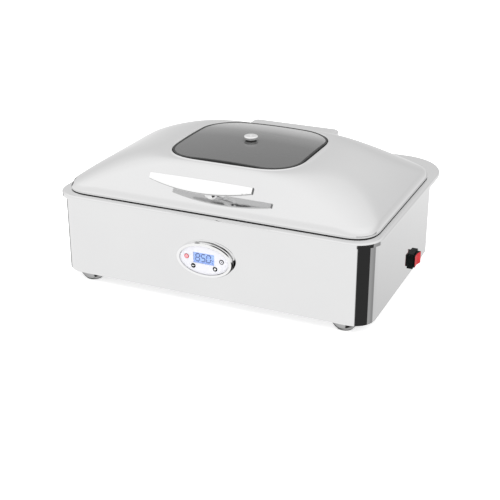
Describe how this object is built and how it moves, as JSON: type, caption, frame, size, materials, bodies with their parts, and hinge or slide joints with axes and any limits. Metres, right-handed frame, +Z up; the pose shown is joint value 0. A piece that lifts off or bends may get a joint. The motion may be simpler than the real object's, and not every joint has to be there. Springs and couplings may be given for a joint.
{
  "type": "hot stone heater",
  "caption": "Electric hot stone heater: polished steel housing with a heated water basin, a domed hinged lid with a smoked window, a digital panel, a rocker switch and cup feet.",
  "frame": {"origin": "on the floor, under the middle of the whole object", "axes": "+X to the right of someone facing the control panel, +Y towards the hinge at the back, +Z up"},
  "size_m": [0.6202, 0.4906, 0.2633],
  "materials": {
    "polished_steel": "mirror-polished stainless steel sheet",
    "satin_steel": "satin stainless steel",
    "dull_steel": "mill-finish steel sheet",
    "zinc_steel": "zinc-plated steel",
    "bright_chrome": "bright chrome",
    "cast_aluminium": "cast aluminium",
    "element_steel": "heat-tinted steel sheath",
    "ceramic_fibre": "ceramic fibre board",
    "circuit_board": "glass-epoxy board with green mask",
    "transformer_iron": "lacquered laminations and tape",
    "white_plastic": "glossy white plastic",
    "dark_plastic": "satin dark plastic",
    "black_plastic": "satin black plastic",
    "red_plastic": "glossy red plastic",
    "bearing_plastic": "bearing plastic",
    "black_rubber": "soft black rubber",
    "wire_insulation": "silicone wire insulation",
    "brass_part": "bare brass",
    "clear_pane": "clear acrylic",
    "smoked_glass": "smoked tempered glass",
    "blue_display": "lit blue display"
  },
  "bodies": {
    "root": {"housing_wrap": "polished_steel", "base_plate": "dull_steel", "housing_screws": "zinc_steel", "foot_screws": "zinc_steel", "water_basin": "polished_steel", "tray_wall": "satin_steel", "tray_floor": "satin_steel", "heater_plate": "cast_aluminium", "heating_element": "element_steel", "element_clamps": "zinc_steel", "heat_shield": "dull_steel", "insulation_blanket": "ceramic_fibre", "temperature_sensor": "element_steel", "thermal_cutout": "dark_plastic", "power_board": "circuit_board", "board_standoffs": "zinc_steel", "board_screws": "zinc_steel", "transformer": "transformer_iron", "terminal_block": "white_plastic", "internal_wiring": "wire_insulation", "earth_stud": "brass_part", "control_bezel": "bright_chrome", "bezel_gasket": "black_rubber", "bezel_nuts": "zinc_steel", "face_plate": "white_plastic", "display_window": "clear_pane", "lcd_module": "blue_display", "control_board": "circuit_board", "switch_body": "black_plastic", "switch_terminals": "brass_part", "power_inlet": "black_plastic", "inlet_pins": "brass_part", "hinge_base": "satin_steel", "hinge_pin": "zinc_steel", "pin_caps": "black_plastic", "hinge_backing_plate": "dull_steel", "hinge_screws": "zinc_steel", "foot_cup_front_left": "bright_chrome", "foot_cup_front_right": "bright_chrome", "foot_cup_back_left": "bright_chrome", "foot_cup_back_right": "bright_chrome", "foot_pads": "black_rubber"},
    "lid": {"lid_shell": "polished_steel", "window_glass": "smoked_glass", "window_gasket": "black_rubber", "steam_vent_knob": "bright_chrome", "vent_seal": "black_rubber", "vent_nut": "zinc_steel", "handle_bar": "bright_chrome", "handle_post": "bright_chrome", "handle_screw": "zinc_steel", "lid_seal": "black_rubber", "hinge_hood": "polished_steel", "hinge_arms": "satin_steel", "hinge_bushes": "bearing_plastic"},
    "rocker": {"rocker": "red_plastic"},
    "button_power": {"button_power": "dark_plastic"},
    "button_minus": {"button_minus": "dark_plastic"},
    "button_plus": {"button_plus": "dark_plastic"},
    "button_timer": {"button_timer": "dark_plastic"}
  },
  "joints": [
    {"name": "lid_hinge", "type": "hinge", "parent": "root", "child": "lid", "pos_m": [-0.00211, 0.18629, 0.193], "axis": [-1, 0, 0], "range_deg": [0, 88]},
    {"name": "rocker_tilt", "type": "hinge", "parent": "root", "child": "rocker", "pos_m": [0.30349, 0.03929, 0.043], "axis": [0, 0, 1], "range_deg": [0, 14]},
    {"name": "button_power_press", "type": "slide", "parent": "root", "child": "button_power", "axis": [0, 1, 0], "range_m": [0, 0.0007], "stiffness_N_per_m": 600, "springref_m": -0.001},
    {"name": "button_minus_press", "type": "slide", "parent": "root", "child": "button_minus", "axis": [0, 1, 0], "range_m": [0, 0.0007], "stiffness_N_per_m": 600, "springref_m": -0.001},
    {"name": "button_plus_press", "type": "slide", "parent": "root", "child": "button_plus", "axis": [0, 1, 0], "range_m": [0, 0.0007], "stiffness_N_per_m": 600, "springref_m": -0.001},
    {"name": "button_timer_press", "type": "slide", "parent": "root", "child": "button_timer", "axis": [0, 1, 0], "range_m": [0, 0.0007], "stiffness_N_per_m": 600, "springref_m": -0.001}
  ]
}
